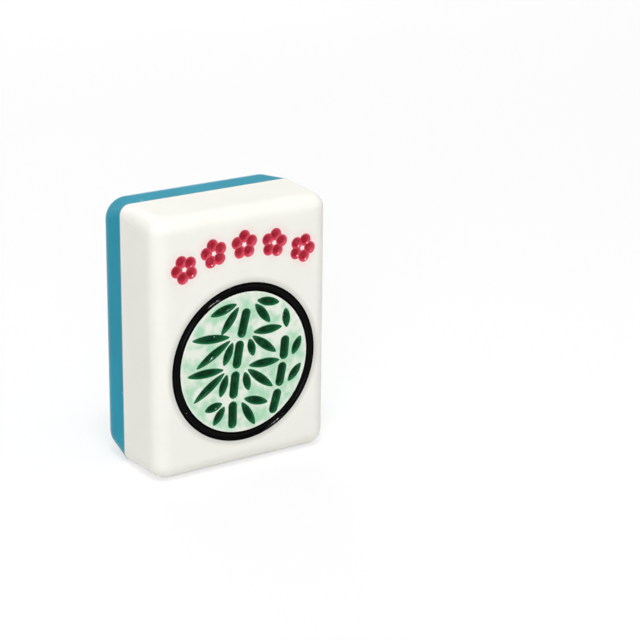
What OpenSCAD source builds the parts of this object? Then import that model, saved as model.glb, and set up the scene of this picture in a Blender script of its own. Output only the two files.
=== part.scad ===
// Mahjong tile: a white face layer bonded to a coloured back layer, rounded along every edge.
// The face is engraved with a ball-nosed cutter and the grooves are lined with paint:
// a black ring, a bamboo inside it and a row of blossoms above. The back carries a printed wreath.
// Frame: the tile stands on its short end, +Z up, face toward -Y, origin at the middle of its base.

/* [Tile] */
// Width across the face
tile_w = 22.2; // [20:0.1:32]
// Height, standing on the short end
tile_h = 30; // [28:0.1:44]
// Radius of the four corners of the outline, at the joint between the layers
corner_r = 1.2; // [0.8:0.1:2.4]

/* [Layers] */
// Thickness of the white face layer
face_t = 7.6; // [5:0.1:12]
// Thickness of the coloured back layer
back_t = 5.2; // [4:0.1:9]
// Thickness of the cement film between the layers
film_t = 0.1; // [0.05:0.01:0.3]
// Rounding along the edges of the face
face_edge_r = 1.8; // [0.5:0.1:2.5]
// Rounding along the edges of the back
back_edge_r = 2.6; // [0.5:0.1:3]

/* [Engraving] */
// Depth of the grooves in the face
groove_depth = 0.4; // [0.25:0.01:0.6]
// Thickness of the paint lining the grooves
paint_t = 0.1; // [0.05:0.01:0.15]

/* [Ring] */
// Width of the ring's groove at the face
ring_stroke = 1.05; // [0.8:0.05:1.4]
// Flat land between the ring and the rounding of the side edges
ring_margin = 0.1; // [0.05:0.05:1.5]
// Height of the ring's lower edge above the base
ring_foot = 3; // [2.4:0.1:5]

/* [Blossoms] */
// Radius of the arch that the row of blossoms follows
arch_r = 18.6; // [14:0.1:40]
// How far the row sits above the middle of the space over the ring
row_shift = 0.2; // [-0.4:0.1:0.6]
// Land between neighbouring blossoms
blossom_gap = 0.4; // [0.2:0.05:0.8]
// Petals of a blossom
petal_count = 5; // [4:1:6]

/* [Bamboo] */
// Width of a culm's groove, in a ring of the size it was drawn for
culm_stroke = 1.15; // [0.8:0.05:1.2]
// Land between two joints of a culm
joint_gap = 0.3; // [0.2:0.05:0.6]
// Width of a leaf in the middle, in a ring of the size it was drawn for
leaf_w = 1.05; // [0.7:0.01:1.1]
// Distance from the foot of a spray to its leaves
leaf_start = 0.7; // [0.6:0.05:1]

/* [Print] */
// Thickness of the printed ink
ink_t = 0.05; // [0.03:0.01:0.1]
// Flat land between the print and the rounding of the side edges
print_margin = 0.5; // [0.2:0.1:4]
// Height of the wreath's middle above the middle of the back
print_rise = 1; // [-2:0.1:3]
// Land between neighbouring flowers
flower_gap = 0.5; // [0.3:0.05:1]
// Diameter of a bud
bud_d = 0.6; // [0.4:0.05:0.8]

/* [Hidden] */
$fn = 64;
white = "#f1f0e8";
blue = "#2f9fba";
clear = "#dfe8e2";
black = "#10100e";
red = "#c8233c";
green = "#0a5a2c";
flower_colours = ["#f3ead8", "#ee8fa5", "#7f58b5", "#f0862c", "#d6478f", "#f4c02f"];
eye_colour = "#d99a1e";
leaf_colour = "#6d8a35";
leaf_shade = "#4d6b2b";
bud_colour = "#f2a3b4";

blossoms = 5;
flowers = len(flower_colours);
flower_petals = 5;

// Planes across the thickness
tile_d = face_t + film_t + back_t;
face_y = -tile_d / 2;
film_y = face_y + face_t;
joint_y = film_y + film_t;
back_y = tile_d / 2;

// A corner lies this far below the sides that it runs out into
corner_sink = 0.01;

// A groove is a round-bottomed channel: its width and depth give the ball that cuts it
steepest = 0.45;
function depth(w) = min(groove_depth, steepest * w);
function ball(w) = (w * w / 4 + depth(w) * depth(w)) / (2 * depth(w));
function lift(w) = ball(w) - depth(w);

// Ring
ring_out = tile_w / 2 - face_edge_r - ring_margin;
ring_r = ring_out - ring_stroke / 2;
ring_z = ring_foot + ring_out;

// The row of blossoms is as wide as the ring
blossom_pitch = (2 * ring_out + blossom_gap) / blossoms;
blossom_d = blossom_pitch - blossom_gap;
petal_w = 0.43 * blossom_d;
petal_at = (blossom_d - petal_w) / 2;
row_half = ring_out - blossom_d / 2;
row_angle = asin(row_half / arch_r);
row_drop = arch_r * (1 - cos(row_angle));
row_z = (ring_z + ring_out + tile_h - face_edge_r + row_drop) / 2 + row_shift;

// The bamboo is drawn in units round the ring's middle, for a ring of this clear radius
drawn_unit = 1;
drawn_r = 8.15;
motif = (ring_r - ring_stroke / 2) / drawn_r;
culm_w = culm_stroke * motif;
spray_w = leaf_w * motif;
// Nodes of each culm, from the ground up
culms = [
    [[-1.6, -7.7], [-1.5, -4.2], [-1.1, -0.7], [-0.5, 2.8], [0.4, 6.4]],
    [[3.6, -7], [4.5, -3.9], [5.1, -0.8], [5.4, 2.3]]
];
// Sprays: foot x, foot y, side, heading of the first leaf below level, spread, length, leaves
sprays = [
    [1, 7.1, 1, 14, 38, 3.1, 2],
    [-0.3, 7.1, -1, 14, 38, 3.6, 2],
    [0.5, 3.3, 1, 0, 38, 3.9, 3],
    [-1.2, 3.2, -1, -5, 35, 5, 3],
    [-0.1, -0.5, 1, 1, 38, 4.2, 3],
    [-2, -0.4, -1, 0, 35, 4.8, 3],
    [-0.7, -4.1, 1, 18, 42, 3.4, 2],
    [-2.2, -4.2, -1, 12, 42, 2.4, 2],
    [5.6, 2.4, 1, -94, 0, 2.4, 1],
    [6, -0.9, 1, -62, 0, 2.4, 1],
    [5.3, -3.9, 1, -48, 0, 2.6, 1]
];
// Length of the first, second and third leaf of a spray
leaf_share = [0.95, 1, 0.55];

// Print: flowers on a circle, with leaves in the spaces outside and inside it
print_out = tile_w / 2 - back_edge_r - print_margin;
print_z = tile_h / 2 + print_rise;
wreath_r = 0.62 * print_out;
flower_step = 360 / flowers;
flower_d = 2 * wreath_r * sin(flower_step / 2) - flower_gap;
flower_petal_r = 0.235 * flower_d;
flower_petal_at = flower_d / 2 - flower_petal_r;
eye_d = 0.28 * flower_d;

// Local frames with x to the viewer's right, y up from the base and z out of the tile
module on_face(y = face_y) {
    translate([0, y, 0]) rotate([90, 0, 0]) children();
}

module on_back(y = back_y) {
    translate([0, y, 0]) rotate([90, 0, 180]) children();
}

// Sections across a layer, upward from its joint: between its corners, and of a rolled edge
module flank(half, t, edge) {
    rise = t - edge;
    polygon([[corner_r - half, 0], [half - corner_r, 0], [half - edge, rise], [edge - half, rise]]);
}

module quarter_disc(r) {
    intersection() {
        circle(r);
        square(r);
    }
}

module roll(half, t, edge) {
    translate([half - edge, t - edge]) quarter_disc(edge);
}

module along_height(length) {
    rotate([90, 0, 0]) linear_extrude(length, center = true) children();
}

module along_width(length) {
    rotate([90, 0, 90]) linear_extrude(length, center = true) children();
}

// A corner of a layer: a ball between the rolled edges on a cone that leans along the corner, so that it
// rounds the outline by corner_r at the joint and runs out into both sides all the way up
module layer_corner(t, edge) {
    rise = t - edge;
    lean = (edge - corner_r) / rise;
    tilt = atan(sqrt(2) * lean);
    slope = asin(lean / sqrt(1 + 2 * lean * lean));
    foot = (rise + corner_r / (1 + lean)) / cos(tilt);
    shoulder = edge * sin(slope);
    middle_r = edge / cos(slope) - corner_sink;
    translate([tile_w / 2 - edge, tile_h / 2 - edge, rise]) {
        rotate_extrude(angle = 90) quarter_disc(edge);
        intersection() {
            rotate([0, -tilt, 45]) rotate_extrude() polygon([
                [0, -foot],
                [middle_r - foot * tan(slope), -foot],
                [middle_r - shoulder * tan(slope), -shoulder],
                [0, edge / 2]
            ]);
            translate([-tile_w / 4, -tile_w / 4, -rise]) cube([tile_w / 2, tile_w / 2, t]);
        }
    }
}

// A layer with its joint at z = 0 and its outer edges rolled
module layer(t, edge) {
    flat_w = tile_w - 2 * edge;
    flat_h = tile_h - 2 * edge;
    translate([0, tile_h / 2, 0]) {
        along_height(tile_h) flank(tile_w / 2, t, edge);
        along_width(tile_w) flank(tile_h / 2, t, edge);
        translate([0, 0, t - edge]) linear_extrude(edge) square([flat_w, flat_h], center = true);
        for (side = [0, 1]) rotate([0, 0, 180 * side]) {
            along_height(flat_h) roll(tile_w / 2, t, edge);
            along_width(flat_w) roll(tile_h / 2, t, edge);
            for (flip = [0, 1]) mirror([flip, 0, 0]) layer_corner(t, edge);
        }
    }
}

// Outline of the tile at the joint
module joint_outline() {
    inner_w = tile_w - 2 * corner_r;
    inner_h = tile_h - 2 * corner_r;
    translate([0, tile_h / 2]) {
        square([tile_w, inner_h], center = true);
        square([inner_w, tile_h], center = true);
        for (x = [-1, 1], y = [-1, 1]) translate([x * inner_w / 2, y * inner_h / 2]) circle(corner_r);
    }
}

// Groove round a circle, less a lining
module ring_cut(lining) {
    translate([0, ring_z, lift(ring_stroke)]) rotate_extrude()
        translate([ring_r, 0]) circle(ball(ring_stroke) - lining);
}

// One round dimple for each petal, less a lining
module blossom_cut(i, lining) {
    turn = row_angle * (2 * i / (blossoms - 1) - 1);
    translate([arch_r * sin(turn), row_z - arch_r * (1 - cos(turn)), lift(petal_w)]) rotate([0, 0, 90 - turn])
        for (k = [0:petal_count - 1]) rotate([0, 0, 360 / petal_count * k])
            translate([petal_at, 0, 0]) sphere(ball(petal_w) - lining);
}

// Straight groove with round ends from one point to another, less a lining
module joint_cut(from, to, lining) {
    run = to - from;
    length = norm(run);
    r = ball(culm_w) - lining;
    translate([from.x, from.y, lift(culm_w)]) rotate([0, 90, atan2(run.y, run.x)]) rotate_extrude() {
        square([r, length]);
        intersection() {
            circle(r);
            translate([0, -r]) square(r);
        }
        translate([0, length]) intersection() {
            circle(r);
            square(r);
        }
    }
}

// The joints of one culm, parted by a land at each node
module culm_cut(i, lining) {
    points = motif * drawn_unit * culms[i];
    back = (culm_w + joint_gap * motif) / 2;
    for (k = [1:len(points) - 1]) {
        run = points[k] - points[k - 1];
        along = run / norm(run);
        joint_cut(points[k - 1] + back * along, points[k] - back * along, lining);
    }
}

// Groove that runs out to a point at each end, along x from the local origin, less a lining
module leaf_cut(length, lining) {
    half = length / 2;
    bow = (half * half + depth(spray_w) * depth(spray_w)) / (2 * depth(spray_w));
    translate([half, 0, lift(spray_w)]) rotate([0, 90, 0]) rotate_extrude() intersection() {
        translate([ball(spray_w) - bow, 0]) circle(bow - lining, $fn = 4 * $fn);
        translate([0, -length]) square([length, 2 * length]);
    }
}

// The leaves of one spray, fanned downward from their common foot
module spray_cut(i, lining) {
    s = sprays[i];
    translate(motif * drawn_unit * [s[0], s[1], 0]) mirror([s[2] < 0 ? 1 : 0, 0, 0])
        for (k = [0:s[6] - 1]) rotate([0, 0, -s[3] - s[4] * k])
            translate([leaf_start * motif, 0, 0]) leaf_cut(s[5] * leaf_share[k] * motif * drawn_unit, lining);
}

module bamboo_place() {
    translate([0, ring_z, 0]) children();
}

// The tile's side of the face plane
module below_face() {
    reach = tile_w + tile_h;
    translate([-reach / 2, -reach / 2, -face_t / 2]) cube([reach, 2 * reach, face_t / 2]);
}

// Outline of a leaf between two arcs, along x from the local origin
module leaf_outline(length, width) {
    bow = (length * length + width * width) / (4 * width);
    intersection() {
        translate([length / 2, width / 2 - bow]) circle(bow);
        translate([length / 2, bow - width / 2]) circle(bow);
    }
}

module print_place(turn) {
    on_back() translate([0, print_z, 0]) rotate([0, 0, turn]) children();
}

module face_layer() {
    color(white) difference() {
        on_face(film_y) layer(face_t, face_edge_r);
        on_face() {
            ring_cut(0);
            for (i = [0:blossoms - 1]) blossom_cut(i, 0);
            bamboo_place() {
                for (i = [0:len(culms) - 1]) culm_cut(i, 0);
                for (i = [0:len(sprays) - 1]) spray_cut(i, 0);
            }
        }
    }
}

module back_layer() {
    color(blue) on_back(joint_y) layer(back_t, back_edge_r);
}

module bond_film() {
    color(clear) on_back(film_y) linear_extrude(film_t) joint_outline();
}

module ring_fill() {
    color(black) on_face() difference() {
        intersection() {
            ring_cut(0);
            below_face();
        }
        ring_cut(paint_t);
    }
}

module blossom_fill(i) {
    color(red) on_face() difference() {
        intersection() {
            blossom_cut(i, 0);
            below_face();
        }
        blossom_cut(i, paint_t);
    }
}

module culm_fill(i) {
    color(green) on_face() difference() {
        intersection() {
            bamboo_place() culm_cut(i, 0);
            below_face();
        }
        bamboo_place() culm_cut(i, paint_t);
    }
}

module leaf_fill(i) {
    color(green) on_face() difference() {
        intersection() {
            bamboo_place() spray_cut(i, 0);
            below_face();
        }
        bamboo_place() spray_cut(i, paint_t);
    }
}

module print_flower(i) {
    color(flower_colours[i]) print_place(90 + flower_step * i) translate([wreath_r, 0, 0])
        linear_extrude(ink_t) difference() {
            union() {
                circle(flower_petal_at);
                for (k = [0:flower_petals - 1]) rotate(360 / flower_petals * k)
                    translate([flower_petal_at, 0]) circle(flower_petal_r);
            }
            circle(d = eye_d);
        }
}

module print_eyes() {
    color(eye_colour) for (i = [0:flowers - 1]) print_place(90 + flower_step * i)
        translate([wreath_r, 0, 0]) cylinder(d = eye_d, h = ink_t);
}

module print_leaves_outer() {
    from = wreath_r + flower_gap;
    color(leaf_colour) for (i = [0:flowers - 1]) print_place(90 + flower_step * (i + 0.5))
        translate([from, 0, 0]) linear_extrude(ink_t) leaf_outline(print_out - from, flower_petal_r);
}

module print_leaves_inner() {
    to = wreath_r - 2 * flower_gap;
    from = flower_petal_r;
    color(leaf_shade) for (i = [0:flowers - 1]) print_place(90 + flower_step * (i + 0.5))
        translate([from, 0, 0]) linear_extrude(ink_t) leaf_outline(to - from, flower_petal_r);
}

module print_buds() {
    bud_turn = 0.2 * flower_step;
    color(bud_colour) for (i = [0:flowers - 1], s = [-1, 1])
        print_place(90 + flower_step * (i + 0.5) + s * bud_turn)
            translate([print_out - bud_d / 2, 0, 0]) cylinder(d = bud_d, h = ink_t);
}

face_layer();
back_layer();
bond_film();
ring_fill();
for (i = [1:blossoms]) blossom_fill(i - 1);
for (i = [1:len(culms)]) culm_fill(i - 1);
for (i = [1:len(sprays)]) leaf_fill(i - 1);
for (i = [1:flowers]) print_flower(i - 1);
print_eyes();
print_leaves_outer();
print_leaves_inner();
print_buds();
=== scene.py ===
import math

import bmesh
import bpy
from mathutils import Matrix, Vector


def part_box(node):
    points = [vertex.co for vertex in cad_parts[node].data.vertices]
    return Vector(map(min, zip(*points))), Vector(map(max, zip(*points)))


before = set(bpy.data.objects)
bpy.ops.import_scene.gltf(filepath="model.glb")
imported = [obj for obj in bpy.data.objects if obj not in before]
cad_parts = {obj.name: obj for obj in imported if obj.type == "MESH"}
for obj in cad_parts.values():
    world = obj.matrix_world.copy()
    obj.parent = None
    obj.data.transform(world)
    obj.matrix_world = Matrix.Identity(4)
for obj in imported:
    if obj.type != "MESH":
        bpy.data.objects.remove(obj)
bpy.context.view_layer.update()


# White face layer
# The thick front part of the tile, cast acrylic that was cemented to the back and sawn to size with it. Its
# edges were rounded in a tumbling drum and buffed, and a ball-nosed cutter engraved its face.
MM = 0.001
SMOOTH = {"interpolation_type": "SMOOTHSTEP"}
COLOURS = {"data_type": "RGBA"}


def linear(code):
    """Linear colour of an sRGB hex value."""
    parts = [int(code[i:i + 2], 16) / 255 for i in (1, 3, 5)]
    return [c / 12.92 if c <= 0.04045 else ((c + 0.055) / 1.055) ** 2.4 for c in parts] + [1]


def add(tree, kind, sockets, **settings):
    """A new node with its settings, and its sockets linked or set. A node stands for its first live output."""
    made = tree.nodes.new("ShaderNode" + kind)
    for name, value in settings.items():
        setattr(made, name, value)
    for key, value in sockets.items() if isinstance(sockets, dict) else enumerate(sockets):
        if isinstance(value, bpy.types.Node):
            value = next(output for output in value.outputs if output.enabled)
        if isinstance(value, bpy.types.NodeSocket):
            tree.links.new(value, made.inputs[key])
        else:
            made.inputs[key].default_value = value
    return made


def begin(name):
    """A new material, its empty tree and the Object coordinates in it."""
    material = bpy.data.materials.new(name)
    material.use_nodes = True
    material.node_tree.nodes.clear()
    return material, material.node_tree, add(material.node_tree, "TexCoord", []).outputs["Object"]


def end(tree, sockets):
    """Joins the surface's shader to the material's output."""
    add(tree, "OutputMaterial", [add(tree, "BsdfPrincipled", sockets)])


def dress(node, material):
    """Gives a node of the frame its finish."""
    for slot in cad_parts[node].material_slots:
        slot.material = material


def away(tree, coords, middle):
    """Distance from a point, measured flat on the face or the back."""
    flat = add(tree, "Mapping", {"Vector": coords, "Location": (-middle.x, 0, -middle.z), "Scale": (1, 0, 1)})
    return add(tree, "VectorMath", [flat], operation="LENGTH")


# Here and below, a spread is the part of a pattern's range that shows, and a share is how much of a second
# colour goes in.
ACRYLIC_IOR = 1.49
WHITE_CLOUD = 6 * MM
CLOUD_SPREAD = 0.15, 0.85
MINT_PATCH = 1.4 * MM
MINT_SPREAD = 0.32, 0.68
MINT_SHARE = 0.15, 0.9
GREY_SHARE = 0.5
PINK_SHARE = 0.3
ring_low, ring_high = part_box("ring_fill")
ring_middle = (ring_low + ring_high) / 2
ring_out = (ring_high.x - ring_low.x) / 2
haze_edge = ring_out - 0.6 * MM
haze_full = ring_out - 1.7 * MM
groove_middle = ring_out - 0.5 * MM
grey_edge = ring_out + 0.8 * MM
blossom_names = sorted(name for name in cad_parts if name.startswith("blossom_fill"))
blossom_middles = [sum(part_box(name), Vector()) / 2 for name in blossom_names]
pink_full = 1.5 * MM
pink_edge = 2.6 * MM

# Cast acrylic, buffed on a soft wheel: a warm white with faint clouds and a dull, even gloss. Paint that was
# wiped off the face leaves a haze: patchy mint inside the ring and pink round the blossoms. The white turns
# grey along the ring's outer edge.
white, tree, coords = begin("buffed_white_acrylic")
cloud = add(tree, "TexNoise", {"Vector": coords, "Scale": 1 / WHITE_CLOUD, "Detail": 4})
tone = add(tree, "MapRange", [cloud, *CLOUD_SPREAD], **SMOOTH)
colour = add(tree, "Mix", {0: tone, 6: linear("#faf9f1"), 7: linear("#f6f5ed")}, **COLOURS)

off_ring = away(tree, coords, ring_middle)
inside = add(tree, "MapRange", [off_ring, haze_edge, haze_full], **SMOOTH)
patches = add(tree, "TexNoise", {"Vector": coords, "Scale": 1 / MINT_PATCH, "Detail": 3})
mint = add(tree, "MapRange", [patches, *MINT_SPREAD, *MINT_SHARE], **SMOOTH)
mint = add(tree, "Math", [inside, mint], operation="MULTIPLY")
colour = add(tree, "Mix", {0: mint, 6: colour, 7: linear("#a5dcb7")}, **COLOURS)

# A grey band along the ring's outer edge, fading out from the middle of its groove to 0.8 mm past the edge.
grey = add(tree, "MapRange", [off_ring, grey_edge, ring_out, 0, GREY_SHARE], **SMOOTH)
outside = add(tree, "MapRange", [off_ring, groove_middle, ring_out], **SMOOTH)
grey = add(tree, "Math", [grey, outside], operation="MULTIPLY")
colour = add(tree, "Mix", {0: grey, 6: colour, 7: linear("#b4b6b0")}, **COLOURS)

nearest = away(tree, coords, blossom_middles[0])
for middle in blossom_middles[1:]:
    nearest = add(tree, "Math", [nearest, away(tree, coords, middle)], operation="MINIMUM")
pink = add(tree, "MapRange", [nearest, pink_edge, pink_full, 0, PINK_SHARE], **SMOOTH)
colour = add(tree, "Mix", {0: pink, 6: colour, 7: linear("#f8d3d3")}, **COLOURS)
end(tree, {"Base Color": colour, "Roughness": 0.3, "IOR": ACRYLIC_IOR, "Specular IOR Level": 0.06})
dress("face_layer", white)


# Blue back layer
# The thinner rear part of the tile, the same cast acrylic dyed through. It was cemented to the face layer
# first, and then sawn, tumbled and buffed together with it.
BLUE_CLOUD = 5 * MM
CHIP_SPACING = 1.6 * MM
CHIP_GRAIN = 0.15 * MM
CHIP_RAGGED = 0.2
CHIP_EDGE = 0.2, 0.15
CHIP_RARITY = 0.84, 0.86
WHEEL_SPREAD = 0.1, 0.9
WHEEL_ROUGHNESS = 0.12, 0.17
joint_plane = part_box("back_layer")[0].y
chips_full = joint_plane + 0.4 * MM
chips_end = joint_plane + 0.7 * MM

# Dyed cast acrylic, buffed: an even teal blue under a sharper gloss than the white, uneven by a hair where
# the wheel passed. A few ragged pale chips beside the joint are left from the saw.
blue, tree, coords = begin("buffed_blue_acrylic")
cloud = add(tree, "TexNoise", {"Vector": coords, "Scale": 1 / BLUE_CLOUD, "Detail": 0})
tone = add(tree, "MapRange", [cloud, *CLOUD_SPREAD], **SMOOTH)
colour = add(tree, "Mix", {0: tone, 6: linear("#0893ad"), 7: linear("#0e9bb6")}, **COLOURS)

cells = add(tree, "TexVoronoi", {"Vector": coords, "Scale": 1 / CHIP_SPACING})
grain = add(tree, "TexNoise", {"Vector": coords, "Scale": 1 / CHIP_GRAIN, "Detail": 2})
ragged = add(tree, "Math", [grain, CHIP_RAGGED, cells], operation="MULTIPLY_ADD")
chip = add(tree, "MapRange", [ragged, *CHIP_EDGE], **SMOOTH)
lot = add(tree, "SeparateXYZ", [cells.outputs["Color"]])
rare = add(tree, "MapRange", [lot, *CHIP_RARITY], **SMOOTH)
depth = add(tree, "SeparateXYZ", [coords]).outputs["Y"]
beside = add(tree, "MapRange", [depth, chips_end, chips_full], **SMOOTH)
chip = add(tree, "Math", [chip, rare], operation="MULTIPLY")
chip = add(tree, "Math", [chip, beside], operation="MULTIPLY")
colour = add(tree, "Mix", {0: chip, 6: colour, 7: linear("#cfe8ee")}, **COLOURS)
wheel_marks = add(tree, "MapRange", [cloud, *WHEEL_SPREAD, *WHEEL_ROUGHNESS], **SMOOTH)
end(tree, {"Base Color": colour, "Roughness": wheel_marks, "IOR": ACRYLIC_IOR, "Specular IOR Level": 0.07})
dress("back_layer", blue)


# Cement film
# A hair of clear acrylic cement that bonds the two layers over their whole joint plane. It was squeezed thin
# in a press, and buffed flush with the sides.
CEMENT_CLOUD = 1 * MM

# Set acrylic cement, buffed: half clear, so that it shows as a thin pale line, a little cloudy along it.
cement, tree, coords = begin("clear_acrylic_cement")
cloud = add(tree, "TexNoise", {"Vector": coords, "Scale": 1 / CEMENT_CLOUD, "Detail": 2})
colour = add(tree, "Mix", {0: cloud, 6: linear("#dfeeee"), 7: linear("#c9e2e6")}, **COLOURS)
end(tree, {"Base Color": colour, "Roughness": 0.2, "IOR": ACRYLIC_IOR, "Transmission Weight": 0.5})
dress("bond_film", cement)


# Black ring
# Black enamel paint in the round-bottomed groove of the ring. It was flooded in and wiped off the face, and
# dried as a hollow lining that is keyed into the groove.
ENAMEL_IOR = 1.5
ENAMEL_CLOUD = 0.9 * MM
UNEVEN_SPREAD = 0.4, 0.75
UNEVEN_SHARE = 0.35
# The paint's lighter lips are partly thinner paint and partly painted highlight; its darker floor is partly
# painted shade.
THIN_LIT_LIP_SHARE = 0.8
# Pale specks in the paint: partly dust and partly painted glints.
DUST_GLINT_SPACING = 0.9 * MM
DUST_GLINT_EDGE = 0.09, 0.05
DUST_GLINT_RARITY = 0.8, 0.82
RIPPLE = 0.45 * MM
RIPPLE_HEIGHT = 0.05 * MM
DRYING_PATCH = 0.4 * MM
DRYING_SPREAD = 0.3, 0.7
ENAMEL_ROUGHNESS = 0.05, 0.14
face_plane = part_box("face_layer")[0].y
paint_floor = face_plane + 0.28 * MM
paint_lip = face_plane - 0.04 * MM


def enamel(name, pooled_shaded, thin_lit, dust_glint, gloss):
    """Enamel that dried in a groove: dark where it pooled and deep in the groove, partly painted shade; lighter at
    the lips, partly thinner paint and partly painted highlight; wet gloss, ripples, and pale specks that are
    partly dust and partly painted glints.
    """
    material, tree, coords = begin(name)
    depth = add(tree, "SeparateXYZ", [coords]).outputs["Y"]
    # Lighter towards the lips: partly thinner paint, partly painted shade deep in the groove and painted highlight
    # along its lips.
    thin_lit_lip = add(tree, "MapRange", [depth, paint_floor, paint_lip, 0, THIN_LIT_LIP_SHARE], **SMOOTH)
    cloud = add(tree, "TexNoise", {"Vector": coords, "Scale": 1 / ENAMEL_CLOUD, "Detail": 2})
    uneven = add(tree, "MapRange", [cloud, *UNEVEN_SPREAD, 0, UNEVEN_SHARE], **SMOOTH)
    thinning_and_light = add(tree, "Math", [thin_lit_lip, uneven], operation="MAXIMUM")
    colour = add(tree, "Mix", {0: thinning_and_light, 6: linear(pooled_shaded), 7: linear(thin_lit)}, **COLOURS)

    # Pale specks: partly dust in the paint and partly painted glints.
    cells = add(tree, "TexVoronoi", {"Vector": coords, "Scale": 1 / DUST_GLINT_SPACING})
    dust_glint_speck = add(tree, "MapRange", [cells, *DUST_GLINT_EDGE], **SMOOTH)
    lot = add(tree, "SeparateXYZ", [cells.outputs["Color"]])
    rare = add(tree, "MapRange", [lot, *DUST_GLINT_RARITY], **SMOOTH)
    dust_glint_speck = add(tree, "Math", [dust_glint_speck, rare], operation="MULTIPLY")
    colour = add(tree, "Mix", {0: dust_glint_speck, 6: colour, 7: linear(dust_glint)}, **COLOURS)

    waves = add(tree, "TexNoise", {"Vector": coords, "Scale": 1 / RIPPLE, "Detail": 3})
    ripple = add(tree, "Bump", {"Height": waves, "Strength": 0.6, "Distance": RIPPLE_HEIGHT})
    drying = add(tree, "TexNoise", {"Vector": coords, "Scale": 1 / DRYING_PATCH, "Detail": 4})
    sheen = add(tree, "MapRange", [drying, *DRYING_SPREAD, *ENAMEL_ROUGHNESS], **SMOOTH)
    end(tree, {"Base Color": colour, "Roughness": sheen, "IOR": ENAMEL_IOR, "Specular IOR Level": gloss,
               "Normal": ripple})
    return material


# Black gloss enamel: nearly pure black and a shade lighter at the lips, partly thinner paint and partly painted
# highlight, with thin bright lines of gloss and a few pale specks that are partly dust and partly painted glints.
dress("ring_fill", enamel("black_enamel", "#010101", "#0b0b0a", "#d8d6cc", 0.06))


# Red blossoms
# Five blossoms in an arch above the ring. Each is five round dimples of the ball-nosed cutter, lined with red
# enamel that was flooded in and wiped off as in the ring.

# Red gloss enamel: crimson in the dimples, deepest in them partly as painted shade, and rosy at their lips,
# partly thinner paint and partly painted highlight, with a small wet glint in each and pale specks that are
# partly dust and partly painted glints.
red = enamel("red_enamel", "#a80b29", "#e65269", "#f4c8cc", 0.17)
for name in blossom_names:
    dress(name, red)


# Green bamboo
# Two jointed culms and eleven sprays of leaves inside the ring. Each joint and each leaf is one stroke of the
# ball-nosed cutter, lined with green enamel that was flooded in and wiped off as in the ring.

# Green gloss enamel: bottle green along the middle of a stroke, partly painted shade of the groove, and a
# fresher green at its lips, partly thinner paint and partly painted highlight, with pale specks that are partly
# dust and partly painted glints.
green = enamel("green_enamel", "#013017", "#187543", "#b8dcc6", 0.08)
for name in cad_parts:
    if name.startswith(("culm_fill", "leaf_fill")):
        dress(name, green)


# Printed flowers
# Six flowers in a wreath on the back, in pigmented ink that was laid on dot by dot and cured by a lamp. The
# ink bonds to the buffed blue and stands a hair proud of it.
INK_IOR = 1.5
INK_DOT = 0.2 * MM
INK_DOT_HEIGHT = 0.01 * MM
FLOWER_R = 2.23 * MM
FLOWER_STEP = 60
FIRST_FLOWER = 90
PETAL_HALF = 36
SEAM_ANGLE = 27
SEAM_SHARE = 0.75
VEINS_ROUND = 55
VEIN_SPREAD = 0.3, 1
VEIN_SHARE = 0.6
RIM_SHARE = 0.35
fade_span = 0.25 * FLOWER_R, 0.8 * FLOWER_R
vein_span = 0.85 * FLOWER_R, 0.4 * FLOWER_R
seam_span = 0.35 * FLOWER_R, 0.6 * FLOWER_R
rim_span = 0.88 * FLOWER_R, FLOWER_R
eyes_low, eyes_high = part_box("print_eyes")
wreath_middle = (eyes_low + eyes_high) / 2
wreath_half = (eyes_high - eyes_low) / 2
wreath_r = (wreath_half.z - wreath_half.x) / (1 - math.cos(math.radians(FLOWER_STEP / 2)))


def heading(tree, coords, middle):
    """Angle round a point on the back, as seen from behind."""
    flat = add(tree, "Mapping", {"Vector": coords, "Location": (-middle.x, 0, -middle.z)})
    parts = add(tree, "SeparateXYZ", [flat]).outputs
    sideways = add(tree, "Math", [parts["X"], -1], operation="MULTIPLY")
    return add(tree, "Math", [parts["Z"], sideways], operation="ARCTAN2")


def aside(tree, angle, start, half):
    """Angle off the nearest of the petals or leaves, which start here and stand two halves apart."""
    turned = add(tree, "Math", [angle, math.radians(start)], operation="SUBTRACT")
    return add(tree, "Math", [turned, math.radians(half)], operation="PINGPONG")


def cure(tree, coords, colour):
    """The satin gloss of cured ink over a colour. Its dots are drawn coarser than real ones, so that they show."""
    dots = add(tree, "TexNoise", {"Vector": coords, "Scale": 1 / INK_DOT, "Detail": 2})
    grain = add(tree, "Bump", {"Height": dots, "Strength": 0.2, "Distance": INK_DOT_HEIGHT})
    end(tree, {"Base Color": colour, "Roughness": 0.32, "IOR": INK_IOR, "Specular IOR Level": 0.35,
               "Normal": grain})


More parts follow.
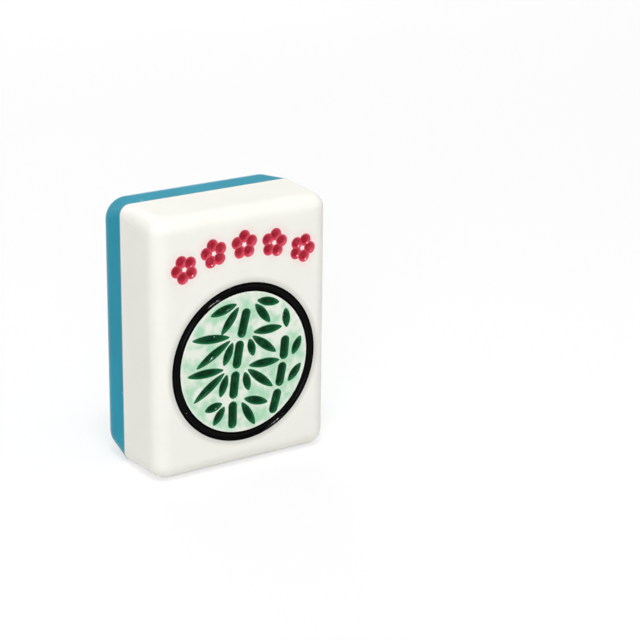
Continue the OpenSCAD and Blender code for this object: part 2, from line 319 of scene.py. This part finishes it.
# Cured flower ink: deep at the eye and pale across the petal, with fine veins, a shaded seam between the
# petals and a slightly darker rim.
flower_tones = [
    ("#fbf6ea", "#d8c49a"), ("#f9b6c3", "#d9547a"), ("#b59ade", "#5f3c9a"),
    ("#fbb060", "#d9591a"), ("#f083b6", "#ad1f6a"), ("#fce070", "#e0922a"),
]
for i, (pale, deep) in enumerate(flower_tones):
    name = f"print_flower_{i + 1}"
    direction = FIRST_FLOWER + FLOWER_STEP * i
    turn = math.radians(direction)
    middle = wreath_middle + wreath_r * Vector((-math.cos(turn), 0, math.sin(turn)))
    material, tree, coords = begin(name + "_ink")
    out = away(tree, coords, middle)
    angle = heading(tree, coords, middle)
    off = aside(tree, angle, direction, PETAL_HALF)
    fade = add(tree, "MapRange", [out, *fade_span], **SMOOTH)
    colour = add(tree, "Mix", {0: fade, 6: linear(deep), 7: linear(pale)}, **COLOURS)

    round_angle = add(tree, "Math", [angle, VEINS_ROUND], operation="MULTIPLY")
    stripes = add(tree, "Math", [round_angle], operation="SINE")
    lines = add(tree, "MapRange", [stripes, *VEIN_SPREAD], **SMOOTH)
    inner = add(tree, "MapRange", [out, *vein_span, 0, VEIN_SHARE], **SMOOTH)
    veins = add(tree, "Math", [lines, inner], operation="MULTIPLY")
    colour = add(tree, "Mix", {0: veins, 6: colour, 7: linear(deep)}, **COLOURS)

    flank = add(tree, "MapRange", [off, math.radians(SEAM_ANGLE), math.radians(PETAL_HALF)], **SMOOTH)
    outer = add(tree, "MapRange", [out, *seam_span, 0, SEAM_SHARE], **SMOOTH)
    seam = add(tree, "Math", [flank, outer], operation="MULTIPLY")
    colour = add(tree, "Mix", {0: seam, 6: colour, 7: linear(deep)}, **COLOURS)

    rim = add(tree, "MapRange", [out, *rim_span, 0, RIM_SHARE], **SMOOTH)
    colour = add(tree, "Mix", {0: rim, 6: colour, 7: linear(deep)}, **COLOURS)
    cure(tree, coords, colour)
    dress(name, material)


# Printed eyes
# The middles of the six flowers, one gold ink laid on and cured in the same pass as the petals, beside them.
# Brown dots in it stand for the stamens.
STAMEN_SPACING = 0.22 * MM
STAMEN_EDGE = 0.2, 0.5

# Cured gold ink: a warm yellow peppered with brown.
material, tree, coords = begin("print_eyes_ink")
dots = add(tree, "TexVoronoi", {"Vector": coords, "Scale": 1 / STAMEN_SPACING})
ground = add(tree, "MapRange", [dots, *STAMEN_EDGE], **SMOOTH)
cure(tree, coords, add(tree, "Mix", {0: ground, 6: linear("#8f5212"), 7: linear("#f0c04a")}, **COLOURS))
dress("print_eyes", material)


# Printed leaves
# Twelve leaves, six pointing out between the flowers and six pointing in to the middle of the wreath, in two
# green inks that were laid on and cured with the flowers.
LEAF_HALF = 30
RIB_FULL = 0.03 * MM
RIB_EDGE = 0.07 * MM
BLADE_PALE = 0.1 * MM
BLADE_DEEP = 0.5 * MM
SIDE_VEIN_STEP = 0.42 * MM
SIDE_VEIN_SPREAD = 0.55, 1
SIDE_VEIN_SHARE = 0.5
leaf_tones = {
    "print_leaves_outer": ("#a9c25e", "#4c6e28"),
    "print_leaves_inner": ("#7ea045", "#2f4e26"),
}

# Cured leaf ink: pale along the middle and deeper toward the edge, with slanting side veins and a light rib.
for name, (pale, deep) in leaf_tones.items():
    material, tree, coords = begin(name + "_ink")
    out = away(tree, coords, wreath_middle)
    off = aside(tree, heading(tree, coords, wreath_middle), 0, LEAF_HALF)
    across = add(tree, "Math", [out, add(tree, "Math", [off], operation="SINE")], operation="MULTIPLY")
    blade = add(tree, "MapRange", [across, BLADE_PALE, BLADE_DEEP], **SMOOTH)
    colour = add(tree, "Mix", {0: blade, 6: linear(pale), 7: linear(deep)}, **COLOURS)

    slant = add(tree, "Math", [out, across], operation="SUBTRACT")
    phase = add(tree, "Math", [slant, 2 * math.pi / SIDE_VEIN_STEP], operation="MULTIPLY")
    waves = add(tree, "Math", [phase], operation="SINE")
    veins = add(tree, "MapRange", [waves, *SIDE_VEIN_SPREAD, 0, SIDE_VEIN_SHARE], **SMOOTH)
    colour = add(tree, "Mix", {0: veins, 6: colour, 7: linear(pale)}, **COLOURS)

    rib = add(tree, "MapRange", [across, RIB_EDGE, RIB_FULL], **SMOOTH)
    colour = add(tree, "Mix", {0: rib, 6: colour, 7: linear("#d3dc9a")}, **COLOURS)
    cure(tree, coords, colour)
    dress(name, material)


# Printed buds
# Small round buds in one pink ink round the rim of the wreath, beside the tips of the outer leaves, laid on
# and cured with the flowers.
BUD_FOOT = 7.4 * MM
BUD_TIP = 8 * MM

# Cured pink ink: rosy on the side of the wreath's middle and paler on the outside.
material, tree, coords = begin("print_buds_ink")
tip = add(tree, "MapRange", [away(tree, coords, wreath_middle), BUD_FOOT, BUD_TIP], **SMOOTH)
cure(tree, coords, add(tree, "Mix", {0: tip, 6: linear("#e07f95"), 7: linear("#fbd0d6")}, **COLOURS))
dress("print_buds", material)


# Floor
# A plain white sheet of paper that the tile stands on. It keeps the tile's shadow, and turns up into a low
# round backdrop far behind it.
FLOOR_R = 1.6
FLOOR_SIDES = 96
BACKDROP_HEIGHT = 0.35
FLOOR_DROP = 0.02 * MM
SHADOW_REACH = 0.1
PLAIN_REACH = 0.6
PAPER_GLOW = 0.62
floor_mesh = bpy.data.meshes.new("floor")
shape = bmesh.new()
bmesh.ops.create_circle(shape, cap_ends=True, segments=FLOOR_SIDES, radius=FLOOR_R)
rim = [edge for edge in shape.edges if edge.is_boundary]
raised = bmesh.ops.extrude_edge_only(shape, edges=rim)["geom"]
raised = [part for part in raised if isinstance(part, bmesh.types.BMVert)]
bmesh.ops.translate(shape, verts=raised, vec=(0, 0, BACKDROP_HEIGHT))
bmesh.ops.translate(shape, verts=shape.verts, vec=(0, 0, -FLOOR_DROP))
shape.to_mesh(floor_mesh)
shape.free()
floor = bpy.data.objects.new("floor", floor_mesh)
bpy.context.scene.collection.objects.link(floor)

# Matt white paper: to the eye, in gloss and through clear parts it is white, with the shadow only near the
# tile. To the light that it throws back on the tile it is a pale grey, so that the tile isn't lit too much.
paper, tree, coords = begin("white_paper")
path = add(tree, "LightPath", []).outputs
seen = add(tree, "Math", [path["Is Camera Ray"], path["Is Glossy Ray"]], operation="MAXIMUM")
seen = add(tree, "Math", [seen, path["Is Transmission Ray"]], operation="MAXIMUM")
matt = add(tree, "BsdfDiffuse", {"Color": linear("#ffffff")})
glow = add(tree, "Emission", {"Color": linear("#ffffff"), "Strength": 1})
reach = add(tree, "VectorMath", [coords], operation="LENGTH")
plain = add(tree, "MapRange", [reach, SHADOW_REACH, PLAIN_REACH, PAPER_GLOW, 1], **SMOOTH)
shown = add(tree, "MixShader", [plain, matt, glow])
bounce = add(tree, "BsdfDiffuse", {"Color": linear("#dcdcdc")})
add(tree, "OutputMaterial", [add(tree, "MixShader", [seen, bounce, shown])])
floor_mesh.materials.append(paper)


# Light
# A light tent: an even pale room, a small soft box overhead, soft fills from the front left and from behind.
# A lamp and a strip that show only in gloss give the glints in the paint and the bright line along the
# back's upper edge. Lengths are in metres, power in watts.
ROOM_LIGHT = 0.55
room = bpy.data.worlds.new("room")
room.use_nodes = True
room.node_tree.nodes.clear()
air = add(room.node_tree, "Background", {"Color": linear("#ffffff"), "Strength": ROOM_LIGHT})
add(room.node_tree, "OutputWorld", [air])
bpy.context.scene.world = room

lamps = {
    "overhead_softbox": {"place": (-0.06, -0.13, 0.47), "width": 0.1, "height": 0.07, "power": 0.76},
    "left_fill": {"place": (-0.333, -0.474, 0.22), "width": 0.3, "height": 0.3, "power": 1.22},
    "back_fill": {"place": (0.2, 0.6, 0.08), "width": 0.3, "height": 0.2, "power": 2.4},
    "glint_lamp": {"place": (-0.05, -0.28, 0.38), "width": 0.05, "height": 0.05, "power": 2.4},
    "back_strip": {"place": (0, 0.45, 0.37), "width": 0.46, "height": 0.03, "power": 0.9},
}
aim = Vector((0, 0, 15 * MM))
for name, lamp in lamps.items():
    light = bpy.data.lights.new(name, "AREA")
    light.shape = "RECTANGLE"
    light.size = lamp["width"]
    light.size_y = lamp["height"]
    light.energy = lamp["power"]
    holder = bpy.data.objects.new(name, light)
    holder.location = lamp["place"]
    holder.rotation_euler = (aim - holder.location).to_track_quat("-Z", "Y").to_euler()
    holder.visible_glossy = name != "back_fill"
    holder.visible_diffuse = name not in ("glint_lamp", "back_strip")
    bpy.context.scene.collection.objects.link(holder)


# Camera
# A long lens a little above the tile and to its left. Its angle and distance were fitted to the tile's
# outline in the photograph, and the tile stands at the same pixels of the frame.
FRAME_PX = 640
FOCAL_PX = 2098
SENSOR_MM = 36
NEAR_CLIP = 0.01
AZIMUTH = math.radians(-33.94)
ELEVATION = math.radians(19.28)
ROLL = math.radians(-0.7)
TILE_PX = (214.2, 321.83)
DISTANCE = 236.08 * MM

toward = Vector((math.sin(AZIMUTH) * math.cos(ELEVATION), -math.cos(AZIMUTH) * math.cos(ELEVATION),
                 math.sin(ELEVATION)))
level = (-toward).cross(Vector((0, 0, 1))).normalized()
down = (-toward).cross(level)
right = math.cos(ROLL) * level + math.sin(ROLL) * down
down = math.cos(ROLL) * down - math.sin(ROLL) * level
per_px = DISTANCE / FOCAL_PX
place = (aim + toward * DISTANCE - right * (TILE_PX[0] - FRAME_PX / 2) * per_px
         - down * (TILE_PX[1] - FRAME_PX / 2) * per_px)
lens = bpy.data.cameras.new("camera")
lens.sensor_width = SENSOR_MM
lens.sensor_fit = "HORIZONTAL"
lens.lens = FOCAL_PX * SENSOR_MM / FRAME_PX
lens.clip_start = NEAR_CLIP
camera = bpy.data.objects.new("camera", lens)
camera.matrix_world = Matrix.Translation(place) @ Matrix((right, -down, toward)).transposed().to_4x4()
bpy.context.scene.collection.objects.link(camera)
bpy.context.scene.camera = camera
bpy.context.scene.view_settings.view_transform = "Standard"
